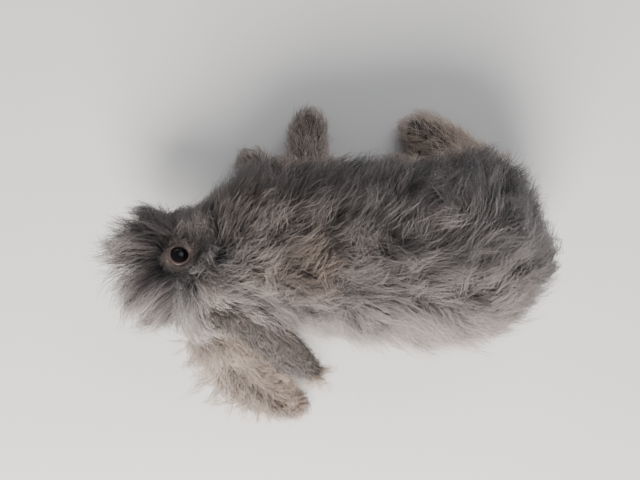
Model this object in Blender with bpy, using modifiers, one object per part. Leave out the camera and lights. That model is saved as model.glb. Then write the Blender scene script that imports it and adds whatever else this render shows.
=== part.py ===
"""English Angora rabbit lounging on its left side, at life size.

Metres, +Z up. The rabbit lies along X with its head towards +X, its back towards +Y and its feet
towards -Y, so its right side faces up. The floor is z = 0, and the origin is on it, under the
waist. Places and radii below are in millimetres.

Each part of the body is a closed solid with a core, at most half as thick as the coat, and locks
of wool that lie over it. Parts touch face to face with a small gap.
"""

import math
import random

import bmesh
import bpy
from mathutils import Matrix, Vector
from mathutils.bvhtree import BVHTree

MM = 0.001
GAP = 0.3

# How far the right side is turned up, and where the nose points.
TRUNK_ROLL = math.radians(40)
HEAD_YAW = math.radians(33)
HEAD_PITCH = math.radians(5)
HEAD_ROLL = math.radians(58)

# Depth of the coat over the skin, and the share of it that the core takes.
TRUNK_COAT = 30
CHEST_COAT = 26
NECK_COAT = 24
HEAD_COAT = 30
LEG_COAT = 9
TAIL_COAT = 14
CORE_SHARE = 0.5

EYEBALL = 8.7
EYE_BOWL = 19
LID = 2.4

# Half the thickness of an ear with its coat, the depth of its cup, and the way its flat faces.
EAR_THICKNESS = 6.0
EAR_CUP = 5.5
EAR_FACE = (0.2, 0.1, 0.97)


class Frame:
    """A place with a forward, a right and an up direction."""

    def __init__(self, origin, yaw=0.0, pitch=0.0, roll=0.0):
        self.origin = Vector(origin) * MM
        flat_right = Vector((-math.sin(yaw), -math.cos(yaw), 0))
        self.forward = Vector(
            (math.cos(pitch) * math.cos(yaw), -math.cos(pitch) * math.sin(yaw), -math.sin(pitch))
        )
        level_up = flat_right.cross(self.forward)
        self.right = flat_right * math.cos(roll) + level_up * math.sin(roll)
        self.up = level_up * math.cos(roll) - flat_right * math.sin(roll)

    def at(self, forward, right, up):
        """The world point at these millimetres along the three directions."""
        return self.origin + MM * (forward * self.forward + right * self.right + up * self.up)

    def matrix(self, centre):
        """Turns X, Y and Z into forward, left and up about a world point."""
        turn = Matrix((self.forward, -self.right, self.up)).transposed()
        return Matrix.Translation(centre) @ turn.to_4x4()


TRUNK = Frame((0, 10, 58), roll=TRUNK_ROLL)
HEAD = Frame((109, 21, 60), HEAD_YAW, HEAD_PITCH, HEAD_ROLL)
EYE_PLACE = (4, 17.5, 6)

# Stations along the trunk: x, y, z of the middle, half width in y, half height in z.
TRUNK_STATIONS = (
    (-138, 12, 59, 30, 30),
    (-128, 13, 59, 48, 44),
    (-110, 11, 59, 54, 50),
    (-80, 11, 59, 56, 52),
    (-40, 10, 58, 53, 49),
    (0, 7, 57, 48, 46),
    (34, 3, 55, 45, 43),
    (52, 6, 55, 40, 40),
)
STATION_LENGTH = 26
CHEST_PLACE = (36, -10, 50)
CHEST_RADII = (30, 36, 34)
HAUNCH_PLACE = (-132, -25, 44)
HAUNCH_RADII = (31, 31, 30)

# Lumps of the head, in its own directions: middle, half sizes, share of the coat over each.
HEAD_FORMS = (
    ((-14, 0, 6), (32, 22, 23), (1.0, 0.5, 1.0)),
    ((8, 0, 22), (30, 27, 26), (0.0, 0.0, 0.0)),
    ((30, 0, 12), (27, 18, 19), (0.0, 0.0, 0.0)),
    ((-22, 13, -6), (22, 20, 24), (0.0, 0.0, 0.0)),
    ((18, 0, 6), (26, 13, 15), (0.6, 0.5, 0.9)),
    ((34, 0, -6), (20, 12.5, 13), (0.1, 0.2, 0.4)),
    ((49, 0, -3), (6.5, 8, 7.5), (0.0, 0.0, 0.0)),
    ((42, 6.5, -9), (11, 8.5, 8.5), (0.0, 0.1, 0.1)),
    ((33, 0, -19), (13, 8.5, 6.5), (0.1, 0.2, 0.4)),
    ((8, 0, -17), (28, 14, 12), (0.3, 0.6, 1.0)),
    ((0, 14, -7), (22, 11, 16), (0.3, 0.5, 0.9)),
)
NOSTRIL = (54, 3.2, -1)
MOUTH = (47, 0, -16)

# How far forward the neck reaches beside the head's middle, and the x where the trunk ends.
NECK_REACH = -8
SHOULDER = 58

# Points along each part with the radius there: x, y, z, radius.
NECK_PATH = (
    (56, 10, 60, 36),
    (70, 17, 60, 34),
    (84, 22, 58, 28),
)
TAIL_PATH = (
    (-156, 24, 76, 12),
    (-170, 18, 66, 13),
    (-179, 10, 54, 12),
)
LEG_PATHS = {
    "front_leg_right": (
        (28, -26, 62, 16),
        (8, -52, 42, 13),
        (12, -84, 19, 9.5),
        (11, -100, 11, 10),
        (10, -107, 10, 8),
    ),
    "front_leg_left": (
        (46, -14, 30, 12),
        (42, -36, 20, 10),
        (54, -54, 12, 8.5),
        (61, -66, 10, 8.5),
        (64, -71, 9.5, 7.5),
    ),
    "hind_leg_right": (
        (-96, -30, 50, 18),
        (-124, -40, 38, 15),
        (-146, -62, 20, 11),
        (-122, -84, 14, 11),
        (-100, -97, 12, 11.5),
        (-91, -102, 10, 9.5),
    ),
    "hind_leg_left": (
        (-128, -20, 24, 13),
        (-142, -34, 14, 10),
        (-112, -48, 11, 10),
        (-88, -60, 10, 10),
        (-76, -66, 10, 8.5),
    ),
}

# Points along the middle of each ear, with half the width of its cup.
EAR_PATHS = {
    "ear_right": (
        (88, 50, 83, 8.5),
        (66, 55, 90, 13),
        (44, 71, 85, 19),
        (22, 95, 73, 17),
        (9, 107, 63, 10),
        (3, 113, 57, 3),
    ),
    "ear_left": (
        (92, 61, 66, 9),
        (86, 81, 63, 15),
        (71, 110, 48, 24),
        (50, 133, 34, 23),
        (31, 146, 24, 14),
        (18, 151, 18, 4),
    ),
}
# Which side of each ear's flat its cup opens on, and how much the fringe fans out.
EAR_OPENS = {"ear_right": -1, "ear_left": 1}
EAR_FAN = 0.9

# Locks of each part: spacing of the roots, length, width, thickness, height of the tip over the
# core, and the share by which each lock differs.
LOCKS = {
    "torso": (24.3, 58, 33, 8, 14, 0.25),
    "neck": (12, 34, 17, 5, 13, 0.25),
    "head": (12.5, 35, 19, 5, 15, 0.2),
    "tail": (17, 26, 18, 5, 7, 0.2),
    "ear_right": (22, 24, 12, 3, 3, 0.3),
    "ear_left": (20, 32, 14, 3, 4, 0.3),
    "front_leg_right": (18, 24, 13, 4, 5, 0.2),
    "front_leg_left": (17, 20, 12, 4, 5, 0.2),
    "hind_leg_right": (20, 26, 14, 4, 5, 0.2),
    "hind_leg_left": (18, 22, 13, 4, 5, 0.2),
}
# Share of its thickness by which a lock's root is sunk, how far a root may be from the smooth
# outside of the parts, its least height, and how much each try to clear a part lifts a lock.
ROOT_DEPTH = 0.8
SKIN_SLACK = 2.5
ROOT_HEIGHT = 10
LIFT = 1.5

# No lock grows where the surface faces down more than this.
UNDERSIDE = -0.45

# The lie of the wool: how much it sweeps down the sides of the trunk and sinks, how much it falls
# back on the head, and how far the short fur reaches round an eye and from the head's middle.
SWEEP = 1.3
SINK = 0.25
FALL_BACK = 0.35
EYE_FUR = 1.7 * EYEBALL
MUZZLE_START = 38

# How far a lock that meets another part turns out of its lie, try by try, and shrinks each time.
TURNS = (0, 0.3, -0.3, 0.6, -0.6, 0.9, -0.9, 0)
SHRINK = 0.93

# A way that is along no face, to look whether a place is inside a solid.
LOOK = Vector((0.21, 0.13, 1)).normalized()

# The outline of a lock: how far along, share of its full width, share of its height.
LOCK_RINGS = ((0.0, 0.55, 0.0), (0.16, 0.85, 0.6), (0.58, 0.85, 0.95))


def clear_scene():
    for found in list(bpy.data.objects):
        bpy.data.objects.remove(found)


def collection_of(name):
    made = bpy.data.collections.new(name)
    bpy.context.scene.collection.children.link(made)
    return made


def material_of(name, colour, roughness):
    made = bpy.data.materials.new(name)
    made.use_nodes = True
    shader = made.node_tree.nodes["Principled BSDF"]
    shader.inputs["Base Color"].default_value = (*colour, 1)
    shader.inputs["Roughness"].default_value = roughness
    made.diffuse_color = (*colour, 1)
    return made


def smooth_points(points, steps):
    """A smooth run of points, of any number of values each, through these."""
    run = []
    last = len(points) - 1
    for i in range(last):
        before = Vector(points[max(i - 1, 0)])
        here = Vector(points[i])
        there = Vector(points[i + 1])
        after = Vector(points[min(i + 2, last)])
        for step in range(steps):
            t = step / steps
            slope = (there - before) * t
            bend = (2 * before - 5 * here + 4 * there - after) * t * t
            twist = (3 * here - before - 3 * there + after) * t * t * t
            run.append(0.5 * (2 * here + slope + bend + twist))
    run.append(Vector(points[last]))
    return run


def add_ball(shape, matrix, radii, segments=20):
    """An ellipsoid with these half axes."""
    size = Matrix.Diagonal((*(MM * radius for radius in radii), 1))
    bmesh.ops.create_uvsphere(
        shape, u_segments=segments, v_segments=segments * 2 // 3, radius=1, matrix=matrix @ size
    )


def add_head_ball(shape, centre, radii):
    """An ellipsoid in the head's own directions, or one on each side where it is off the middle."""
    forward, right, up = centre
    for side in (1, -1) if right else (1,):
        add_ball(shape, HEAD.matrix(HEAD.at(forward, side * right, up)), radii)


def add_chain(shape, path, coat):
    """Overlapping balls along a smooth path."""
    for station in smooth_points(path, 3):
        radius = station[3] + coat
        add_ball(shape, Matrix.Translation(station.to_3d() * MM), (radius, radius, radius), 16)


def add_trunk(shape, coat):
    """Balls as wide and as high as the trunk's stations say."""
    for x, y, z, wide, high in smooth_points(TRUNK_STATIONS, 2):
        radii = (STATION_LENGTH + coat, wide + coat, high + coat)
        add_ball(shape, Matrix.Translation(MM * Vector((x, y, z))), radii, 24)


def add_blade(shape, path, width_share, thick, lift):
    """A leaf of flat balls along a path, lifted off it along its face."""
    run = smooth_points(path, 4)
    for i, station in enumerate(run):
        ahead = run[min(i + 1, len(run) - 1)].to_3d() - run[max(i - 1, 0)].to_3d()
        ahead.normalize()
        face = Vector(EAR_FACE) - ahead * Vector(EAR_FACE).dot(ahead)
        face.normalize()
        turn = Matrix((ahead, face.cross(ahead), face)).transposed().to_4x4()
        wide = station[3] * width_share
        place = Matrix.Translation(MM * (station.to_3d() + lift * face)) @ turn
        add_ball(shape, place, (wide * 0.7, wide, thick), 16)


def new_object(name, shape, collection):
    mesh = bpy.data.meshes.new(name)
    shape.to_mesh(mesh)
    shape.free()
    made = bpy.data.objects.new(name, mesh)
    collection.objects.link(made)
    return made


def apply_modifiers(target):
    """Puts what the modifiers make in the object's own mesh."""
    graph = bpy.context.evaluated_depsgraph_get()
    mesh = bpy.data.meshes.new_from_object(target.evaluated_get(graph))
    old = target.data
    target.modifiers.clear()
    target.data = mesh
    bpy.data.meshes.remove(old)


def fuse(target, voxel, smoothing, triangles):
    """Makes one smooth closed skin of overlapping balls, with about this many triangles."""
    remesh = target.modifiers.new("fuse", "REMESH")
    remesh.mode = "VOXEL"
    remesh.voxel_size = voxel * MM
    relax = target.modifiers.new("relax", "SMOOTH")
    relax.factor = 0.5
    relax.iterations = smoothing
    apply_modifiers(target)
    thin = target.modifiers.new("thin", "DECIMATE")
    thin.ratio = min(1, triangles / (2 * len(target.data.polygons)))
    apply_modifiers(target)


def boolean(target, cutter, operation):
    """Joins target with a mesh object, or cuts target by it, and removes that object.

    The EXACT solver left edges not shared by two faces on the head's cuts and on most unions.
    """
    change = target.modifiers.new(operation.lower(), "BOOLEAN")
    change.operation = operation
    change.solver = "MANIFOLD"
    change.object = cutter
    apply_modifiers(target)
    bpy.data.objects.remove(cutter)


def swollen(source, grow, collection):
    """A copy of an object, pushed out along its normals."""
    made = bpy.data.objects.new(source.name + "_swollen", source.data.copy())
    collection.objects.link(made)
    push = made.modifiers.new("grow", "DISPLACE")
    push.mid_level = 0
    push.strength = grow * MM
    apply_modifiers(made)
    return made


def half_space(name, point, normal, collection):
    """A large box that fills the side of a plane that its normal points to."""
    size = 0.8
    shape = bmesh.new()
    turn = Vector(normal).to_track_quat("Z", "Y").to_matrix().to_4x4()
    place = Matrix.Translation(Vector(point)) @ turn @ Matrix.Translation((0, 0, size / 2))
    bmesh.ops.create_cube(shape, size=size, matrix=place)
    return new_object(name, shape, collection)


def keep_largest(target):
    """Leaves only the largest closed surface, in triangles."""
    shape = bmesh.new()
    shape.from_mesh(target.data)
    bmesh.ops.triangulate(shape, faces=shape.faces)
    left = set(shape.faces)
    surfaces = []
    while left:
        grown = {left.pop()}
        edge = list(grown)
        while edge:
            near = {g for f in edge for e in f.edges if len(e.link_faces) == 2 for g in e.link_faces}
            edge = list(near - grown)
            grown |= near
        left -= grown
        surfaces.append(grown)
    surfaces.sort(key=len)
    for scrap in surfaces[:-1]:
        bmesh.ops.delete(shape, geom=list(scrap), context="FACES")
    loose = [vert for vert in shape.verts if not vert.link_faces]
    bmesh.ops.delete(shape, geom=loose, context="VERTS")
    shape.to_mesh(target.data)
    shape.free()


def part_from(target, others, guides):
    """Cuts target clear of the others by the gap."""
    for other in others:
        boolean(target, swollen(other, GAP, guides), "DIFFERENCE")
    keep_largest(target)


def cut_at_floor(target, guides):
    """Gives the object a flat on the floor."""
    boolean(target, half_space("below", (0, 0, 0), (0, 0, -1), guides), "DIFFERENCE")
    keep_largest(target)


def build_torso(nodes):
    shape = bmesh.new()
    add_trunk(shape, TRUNK_COAT * CORE_SHARE)
    chest = tuple(radius + CHEST_COAT * CORE_SHARE for radius in CHEST_RADII)
    add_ball(shape, TRUNK.matrix(Vector(CHEST_PLACE) * MM), chest)
    haunch = tuple(radius + TRUNK_COAT * CORE_SHARE for radius in HAUNCH_RADII)
    add_ball(shape, TRUNK.matrix(Vector(HAUNCH_PLACE) * MM), haunch)
    made = new_object("torso", shape, nodes)
    fuse(made, 4, 8, 420)
    return made


def add_lids(head, guides):
    """Sinks the eyes in shallow bowls, each with a ring of lids."""
    forward, right, up = EYE_PLACE
    for side in (1, -1):
        bowl = bmesh.new()
        place = HEAD.matrix(HEAD.at(forward, side * (right + EYE_BOWL), up))
        add_ball(bowl, place, (EYE_BOWL, EYE_BOWL, EYE_BOWL), 16)
        boolean(head, new_object("bowl", bowl, guides), "DIFFERENCE")
        turn = Matrix.Rotation(math.pi / 2, 4, "X")
        place = HEAD.matrix(HEAD.at(forward, side * (right + LID), up)) @ turn
        bpy.ops.mesh.primitive_torus_add(
            major_radius=EYEBALL * MM, minor_radius=LID * MM, major_segments=12, minor_segments=6
        )
        ring = bpy.context.object
        ring.data.transform(place)
        ring.matrix_world = Matrix()
        boolean(head, ring, "UNION")


def cut_face(head, guides):
    """Cuts the nostrils and the line of the mouth."""
    forward, right, up = NOSTRIL
    for side in (1, -1):
        hole = bmesh.new()
        add_ball(hole, HEAD.matrix(HEAD.at(forward, side * right, up)), (3, 1.2, 1.6), 8)
        boolean(head, new_object("nostril", hole, guides), "DIFFERENCE")
    line = bmesh.new()
    add_ball(line, HEAD.matrix(HEAD.at(*MOUTH)), (9, 12, 0.9), 12)
    boolean(head, new_object("mouth", line, guides), "DIFFERENCE")


def build_head(nodes, guides):
    shape = bmesh.new()
    for centre, radii, shares in HEAD_FORMS:
        grown = (r + share * HEAD_COAT * CORE_SHARE for r, share in zip(radii, shares))
        add_head_ball(shape, centre, tuple(grown))
    made = new_object("head", shape, nodes)
    fuse(made, 2, 3, 1100)
    add_lids(made, guides)
    cut_face(made, guides)
    return made


def build_eye(name, side, nodes):
    forward, right, up = EYE_PLACE
    shape = bmesh.new()
    place = HEAD.matrix(HEAD.at(forward, side * right, up))
    add_ball(shape, place, (EYEBALL, EYEBALL, EYEBALL), 14)
    return new_object(name, shape, nodes)


def build_limb(name, path, coat, triangles, nodes):
    shape = bmesh.new()
    add_chain(shape, path, coat)
    made = new_object(name, shape, nodes)
    fuse(made, 2, 4, triangles)
    return made


def build_ear(name, path, nodes, guides):
    shape = bmesh.new()
    add_blade(shape, path, 1, EAR_THICKNESS, 0)
    made = new_object(name, shape, nodes)
    fuse(made, 1.5, 4, 210)
    cup = bmesh.new()
    add_blade(cup, path[1:-1], 0.72, EAR_CUP, EAR_OPENS[name] * EAR_CUP)
    cutter = new_object("cup", cup, guides)
    fuse(cutter, 1.5, 4, 90)
    boolean(made, cutter, "DIFFERENCE")
    return made


def trunk_lie(place):
    """Back along the spine, and more and more down the sides away from it."""
    around = Vector((0, *(place - TRUNK.origin).yz)).normalized()
    down = around * around.dot(TRUNK.up) - TRUNK.up
    return Vector((-1, 0, 0)) + SWEEP * down + Vector((0, 0, -SINK))


def head_lie(place):
    """Away from the eye, and back."""
    away = place - HEAD.at(*EYE_PLACE)
    away -= HEAD.right * away.dot(HEAD.right)
    return away.normalized() - FALL_BACK * HEAD.forward


def path_lie(path, fan=0.0):
    """Along a path, towards its end, and by a share of that away from it."""
    stations = [MM * station.to_3d() for station in smooth_points(path, 3)]

    def lie(place):
        near = min(range(len(stations)), key=lambda i: (stations[i] - place).length)
        near = min(near, len(stations) - 2)
        ahead = (stations[near + 1] - stations[near]).normalized()
        away = place - stations[near]
        away -= ahead * away.dot(ahead)
        return ahead + fan * away.normalized()

    return lie


def lock_path(root, normal, lie, surface, length, height, depth, turn):
    """Points and normals of a lock that rises from its root and lies along the surface."""
    place = root.copy()
    points = []
    done = 0.0
    for along, width, high in (*LOCK_RINGS, (1.0, 0.0, 1.0)):
        step = (along - done) * length * MM
        way = Matrix.Rotation(turn, 3, normal) @ lie(place)
        way -= normal * way.dot(normal)
        if step and way.length > 0:
            ahead, ahead_normal, _, _ = surface.find_nearest(place + way.normalized() * step)
            place = ahead
            normal = ahead_normal
        done = along
        rise = (height + depth) * high - depth
        points.append((place + normal * rise * MM, normal.copy(), width))
    return points


def add_lock(shape, points, width, thickness, grow=0.0):
    """A flat tapered lock of four sides along these points."""
    rings = []
    for i, (centre, normal, share) in enumerate(points[:-1]):
        ahead = (points[i + 1][0] - points[max(i - 1, 0)][0]).normalized()
        across = ahead.cross(normal).normalized()
        face = across.cross(ahead)
        wide = across * (width * share / 2 + grow) * MM
        deep = face * (thickness * max(share, 0.35) / 2 + grow) * MM
        rings.append([shape.verts.new(centre + edge) for edge in (wide, deep, -wide, -deep)])
    tip = shape.verts.new(points[-1][0])
    shape.faces.new(rings[0])
    for one, two in zip(rings, rings[1:]):
        for i in range(4):
            j = (i + 1) % 4
            shape.faces.new((one[j], one[i], two[i], two[j]))
    for i in range(4):
        shape.faces.new((rings[-1][(i + 1) % 4], rings[-1][i], tip))


def tree_of(target):
    shape = bmesh.new()
    shape.from_mesh(target.data)
    tree = BVHTree.FromBMesh(shape)
    shape.free()
    return tree


def is_clear(points, width, thickness, trees):
    """Whether a lock, swollen by the gap, crosses none of these and stays above the floor."""
    shape = bmesh.new()
    add_lock(shape, points, width, thickness, 2 * GAP)
    lowest = min(vert.co.z for vert in shape.verts)
    lock = BVHTree.FromBMesh(shape)
    shape.free()
    if lowest < 0 or any(lock.overlap(tree) for tree in trees):
        return False
    return not any(is_inside(tree, points[2][0]) for tree in trees)


def tree_of_all(parts, guides):
    """One smooth surface over several parts."""
    shape = bmesh.new()
    for part in parts:
        shape.from_mesh(part.data)
    joined = new_object("whole", shape, guides)
    fuse(joined, 3, 6, 6000)
    tree = tree_of(joined)
    bpy.data.objects.remove(joined)
    return tree


def is_inside(tree, place):
    """Whether a place is in a closed surface: a line from it crosses an odd number of faces."""
    crossings = 0
    found = place
    while found:
        found, _, _, _ = tree.ray_cast(found + LOOK * 1e-6, LOOK)
        crossings += found is not None
    return crossings % 2 == 1


def root_places(target, surface, spacing, draw):
    """Places on the target's outside, about this far apart, with their normals."""
    mesh = target.data
    faces = [face for face in mesh.polygons if face.area > 0]
    areas = [face.area for face in faces]
    kept = []
    for face in draw.choices(faces, areas, k=40 * len(faces)):
        corners = [mesh.vertices[i].co for i in face.vertices]
        one = draw.random()
        two = draw.random() * (1 - one)
        place = corners[0] + (corners[1] - corners[0]) * one + (corners[2] - corners[0]) * two
        _, normal, _, distance = surface.find_nearest(place)
        if distance > SKIN_SLACK * MM or normal.z < UNDERSIDE or place.z < ROOT_HEIGHT * MM:
            continue
        if all((place - other).length > spacing * MM for other, _ in kept):
            kept.append((place, normal))
    return kept


def grow_locks(target, sizes, lie, surface, others, bald=None):
    """Covers a part with locks that keep clear of the others, and fuses them with it."""
    spacing, length, width, thickness, height, spread = sizes
    draw = random.Random(target.name)
    trees = [tree_of(other) for other in others]
    depth = thickness * ROOT_DEPTH
    locks = collection_of("locks")
    for root, normal in root_places(target, surface, spacing, draw):
        if bald and bald(root):
            continue
        long = length * draw.uniform(1 - spread, 1 + spread)
        wide = width * draw.uniform(1 - spread, 1 + spread)
        high = height * draw.uniform(1 - spread, 1 + spread)
        for tries in range(len(TURNS)):
            lifted = high + tries * LIFT
            points = lock_path(root, normal, lie, surface, long, lifted, depth, TURNS[tries])
            if is_clear(points, wide, thickness, trees):
                shape = bmesh.new()
                add_lock(shape, points, wide, thickness)
                new_object("lock", shape, locks)
                break
            long *= SHRINK
            wide *= SHRINK
    union = target.modifiers.new("union", "BOOLEAN")
    union.operation = "UNION"
    union.solver = "MANIFOLD"
    union.operand_type = "COLLECTION"
    union.collection = locks
    apply_modifiers(target)
    for lock in list(locks.objects):
        bpy.data.objects.remove(lock)
    bpy.data.collections.remove(locks)
    keep_largest(target)


def near_eye(place):
    """Whether a place is in the short fur round an eye or on the muzzle."""
    forward, right, up = EYE_PLACE
    for side in (1, -1):
        if (place - HEAD.at(forward, side * right, up)).length < EYE_FUR * MM:
            return True
    return (place - HEAD.origin).dot(HEAD.forward) > MUZZLE_START * MM


def main():
    clear_scene()
    nodes = collection_of("english_angora_rabbit")
    guides = collection_of("cutters")
    guides.hide_render = True
    eyes = [build_eye("eye_right", 1, nodes), build_eye("eye_left", -1, nodes)]
    head = build_head(nodes, guides)
    neck = build_limb("neck", NECK_PATH, NECK_COAT * CORE_SHARE, 200, nodes)
    torso = build_torso(nodes)
    tail = build_limb("tail", TAIL_PATH, TAIL_COAT * CORE_SHARE, 110, nodes)
    ears = [build_ear(name, path, nodes, guides) for name, path in EAR_PATHS.items()]
    legs = [build_limb(name, path, LEG_COAT / 2, 170, nodes) for name, path in LEG_PATHS.items()]
    body = (head, neck, torso, tail, *ears, *legs)
    surfaces = {made.name: tree_of(made) for made in (*ears, *legs)}
    whole = tree_of_all((head, neck, torso, tail), guides)
    surfaces |= {made.name: whole for made in (head, neck, torso, tail)}

    face = HEAD.at(NECK_REACH, 0, 0)
    boolean(neck, half_space("face", face, HEAD.forward, guides), "DIFFERENCE")
    boolean(neck, half_space("shoulder", (SHOULDER * MM, 0, 0), (-1, 0, 0), guides), "DIFFERENCE")
    done = list(eyes)
    for made in (head, *ears, neck, torso, *legs, tail):
        cut_at_floor(made, guides)
        part_from(made, done, guides)
        done.append(made)

    lies = {"head": head_lie, "neck": trunk_lie, "torso": trunk_lie, "tail": path_lie(TAIL_PATH)}
    lies |= {name: path_lie(path) for name, path in LEG_PATHS.items()}
    lies |= {name: path_lie(path, EAR_FAN) for name, path in EAR_PATHS.items()}
    for made in (*ears, head, neck, torso, tail, *legs):
        others = [other for other in (*eyes, *body) if other is not made]
        bald = near_eye if made is head else None
        surface = surfaces[made.name]
        grow_locks(made, LOCKS[made.name], lies[made.name], surface, others, bald)

    wool = material_of("wool", (0.16, 0.15, 0.155), 0.9)
    glass = material_of("eye_glass", (0.02, 0.012, 0.01), 0.08)
    for made in nodes.objects:
        made.data.materials.append(glass if made in eyes else wool)


main()
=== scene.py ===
"""The looks of the English Angora rabbit: skin, wool, short fur, eyes, nose, whiskers and claws.

Metres, +Z up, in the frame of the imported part. Places and radii in the tables are in millimetres.
The naked body is built from the same forms as the part's cores, without their share of the coat.
"""

import math
from collections import namedtuple
from functools import lru_cache

import bmesh
import bpy
import numpy as np
from mathutils import Matrix, Vector
from mathutils.bvhtree import BVHTree
from mathutils.kdtree import KDTree


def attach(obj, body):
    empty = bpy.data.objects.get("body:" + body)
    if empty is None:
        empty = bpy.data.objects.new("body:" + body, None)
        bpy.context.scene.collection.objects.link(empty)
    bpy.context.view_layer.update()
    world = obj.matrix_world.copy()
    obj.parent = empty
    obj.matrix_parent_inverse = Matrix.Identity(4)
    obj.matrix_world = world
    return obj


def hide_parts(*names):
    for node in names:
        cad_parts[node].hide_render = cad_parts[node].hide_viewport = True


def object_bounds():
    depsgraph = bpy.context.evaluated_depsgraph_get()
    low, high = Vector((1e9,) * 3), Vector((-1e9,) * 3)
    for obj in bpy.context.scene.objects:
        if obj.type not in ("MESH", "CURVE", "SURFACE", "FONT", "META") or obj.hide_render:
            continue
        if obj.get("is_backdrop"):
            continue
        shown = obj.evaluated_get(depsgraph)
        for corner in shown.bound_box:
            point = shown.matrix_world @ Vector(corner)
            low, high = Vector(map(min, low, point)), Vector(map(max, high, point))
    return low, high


MM = 0.001
SEED = 20

# The pose, as in the part.
TRUNK_ROLL = math.radians(40)
HEAD_YAW = math.radians(33)
HEAD_PITCH = math.radians(5)
HEAD_ROLL = math.radians(58)

# The eyes: radius, place in the head's directions, and the hollow in the wool over them.
EYEBALL = 8.7
EYE_PLACE = (4, 17.5, 6)
EYE_RISE = 6.5
EYE_HOLLOW = 25

# The way that the ears' flat sides face, and on which side each is hollow.
EAR_FACE = (0.2, 0.1, 0.97)
EAR_OPENS = {"ear_right": -1, "ear_left": 1}

# An ear's blade and hollow: share of the width, and thickness.
EAR_BLADE = (0.92, 3.6)
EAR_CUP = (0.74, 5)
EAR_CUP_LIFT = 4.4

# Cuts in the face, in the head's directions: place and half sizes.
NOSTRIL = ((54.2, 3.0, -1), (3, 0.7, 2.0))
NOSTRIL_TURN = 0.5
LIP_SPLIT = ((54, 0, -8), (3.2, 0.4, 5))
MOUTH = ((47, 0, -15.5), (8, 11, 0.6))
SOCKET_ROOM = 0.15

# The toes, of which the outer ones stay back.
TOES = 4
TOE_GAP = 4.2
TOE_REACH = 3.5
TOE_CURVE = 1.8
TOE_DROP = 3
TOE_RADII = (4.2, 4.2, 3.8)

# Stations along the trunk: x, y, z of the middle, half width in y, half height in z.
TRUNK_STATIONS = (
    (-138, 12, 59, 30, 30),
    (-128, 13, 59, 48, 44),
    (-110, 11, 59, 54, 50),
    (-80, 11, 59, 56, 52),
    (-40, 10, 58, 53, 49),
    (0, 7, 57, 48, 46),
    (34, 3, 55, 45, 43),
    (52, 6, 55, 40, 40),
)
STATION_LENGTH = 26
CHEST_PLACE = (36, -10, 50)
CHEST_RADII = (30, 36, 34)
HAUNCH_PLACE = (-132, -25, 44)
HAUNCH_RADII = (31, 31, 30)

# Depth of the coat over the skin, out to the tips.
TRUNK_COAT = 28.5
NECK_COAT = 24
HEAD_COAT = 29
LEG_COAT = 11
TAIL_COAT = 14

# Lumps of the naked head, in its own directions: middle, half sizes, share of the coat over each.
HEAD_FORMS = (
    ((-14, 0, 6), (32, 22, 23), (1.0, 0.5, 1.0)),
    ((18, 0, 6), (26, 13, 15), (0.6, 0.5, 0.9)),
    ((34, 0, -6), (20, 12.5, 13), (0.1, 0.2, 0.4)),
    ((49, 0, -3), (6.5, 8, 7.5), (0.0, 0.0, 0.0)),
    ((42, 6.5, -9), (11, 8.5, 8.5), (0.0, 0.1, 0.1)),
    ((33, 0, -19), (13, 8.5, 6.5), (0.1, 0.2, 0.4)),
    ((8, 0, -17), (28, 14, 12), (0.3, 0.6, 1.0)),
    ((0, 14, -7), (22, 11, 16), (0.3, 0.5, 0.9)),
    ((4, 14.5, 6), (14, 9, 12), (0.0, 0.0, 0.0)),
)

# The outside of the wool of the crown, the forehead and the cheeks, likewise.
WOOL_FORMS = (
    ((8, 0, 22), (50, 40, 48)),
    ((32, 0, 13), (51, 32, 42)),
    ((-22, 13, -6), (37, 35, 39)),
)

# The outside of the ruff under the throat.
RUFF_PLACE = (76, 2, 56)
RUFF_RADII = (32, 48, 38)

# Points along each part with the radius there: x, y, z, radius.
NECK_PATH = (
    (56, 10, 60, 36),
    (70, 17, 60, 34),
    (84, 22, 58, 28),
)
TAIL_PATH = (
    (-156, 24, 76, 12),
    (-170, 18, 66, 12),
    (-179, 10, 54, 9),
)
LEG_PATHS = {
    "front_leg_right": (
        (28, -26, 62, 16),
        (8, -52, 42, 13),
        (12, -84, 19, 9.5),
        (11, -100, 11, 10),
        (10, -107, 10, 8),
    ),
    "front_leg_left": (
        (46, -14, 30, 12),
        (42, -36, 20, 10),
        (54, -54, 12, 8.5),
        (61, -66, 10, 8.5),
        (64, -71, 9.5, 7.5),
    ),
    "hind_leg_right": (
        (-96, -30, 50, 18),
        (-124, -40, 38, 15),
        (-146, -62, 20, 11),
        (-122, -84, 14, 11),
        (-100, -97, 12, 11.5),
        (-91, -102, 10, 9.5),
    ),
    "hind_leg_left": (
        (-128, -20, 24, 13),
        (-142, -34, 14, 10),
        (-112, -48, 11, 10),
        (-88, -60, 10, 10),
        (-76, -66, 10, 8.5),
    ),
}
CHAINS = {"neck": NECK_PATH, "tail": TAIL_PATH} | LEG_PATHS
EAR_PATHS = {
    "ear_right": (
        (88, 50, 83, 8.5),
        (66, 55, 90, 13),
        (44, 71, 85, 19),
        (22, 95, 73, 17),
        (9, 107, 63, 10),
        (3, 113, 57, 3),
    ),
    "ear_left": (
        (92, 61, 66, 9),
        (86, 81, 63, 15),
        (71, 110, 48, 24),
        (50, 133, 34, 23),
        (31, 146, 24, 14),
        (18, 151, 18, 4),
    ),
}

# The camera looks straight down on the origin, with the head at the picture's left.
CAMERA_HEIGHT = 0.46
CAMERA_LENS = 27.06

# The lights: place, size, power and colour.
LIGHTS = {
    "key": ((0.2, 1.45, 0.85), 1.1, 125, (1.0, 0.975, 0.95)),
    "fill": ((-0.7, -1.3, 1.1), 1.4, 18, (0.95, 0.97, 1.0)),
}
LIT_PLACE = (0, 0, 0.05)
SKY = (0.85, 0.9, 1.0, 1)
SKY_STRENGTH = 0.45
FLOOR_SIZE = 3

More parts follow.
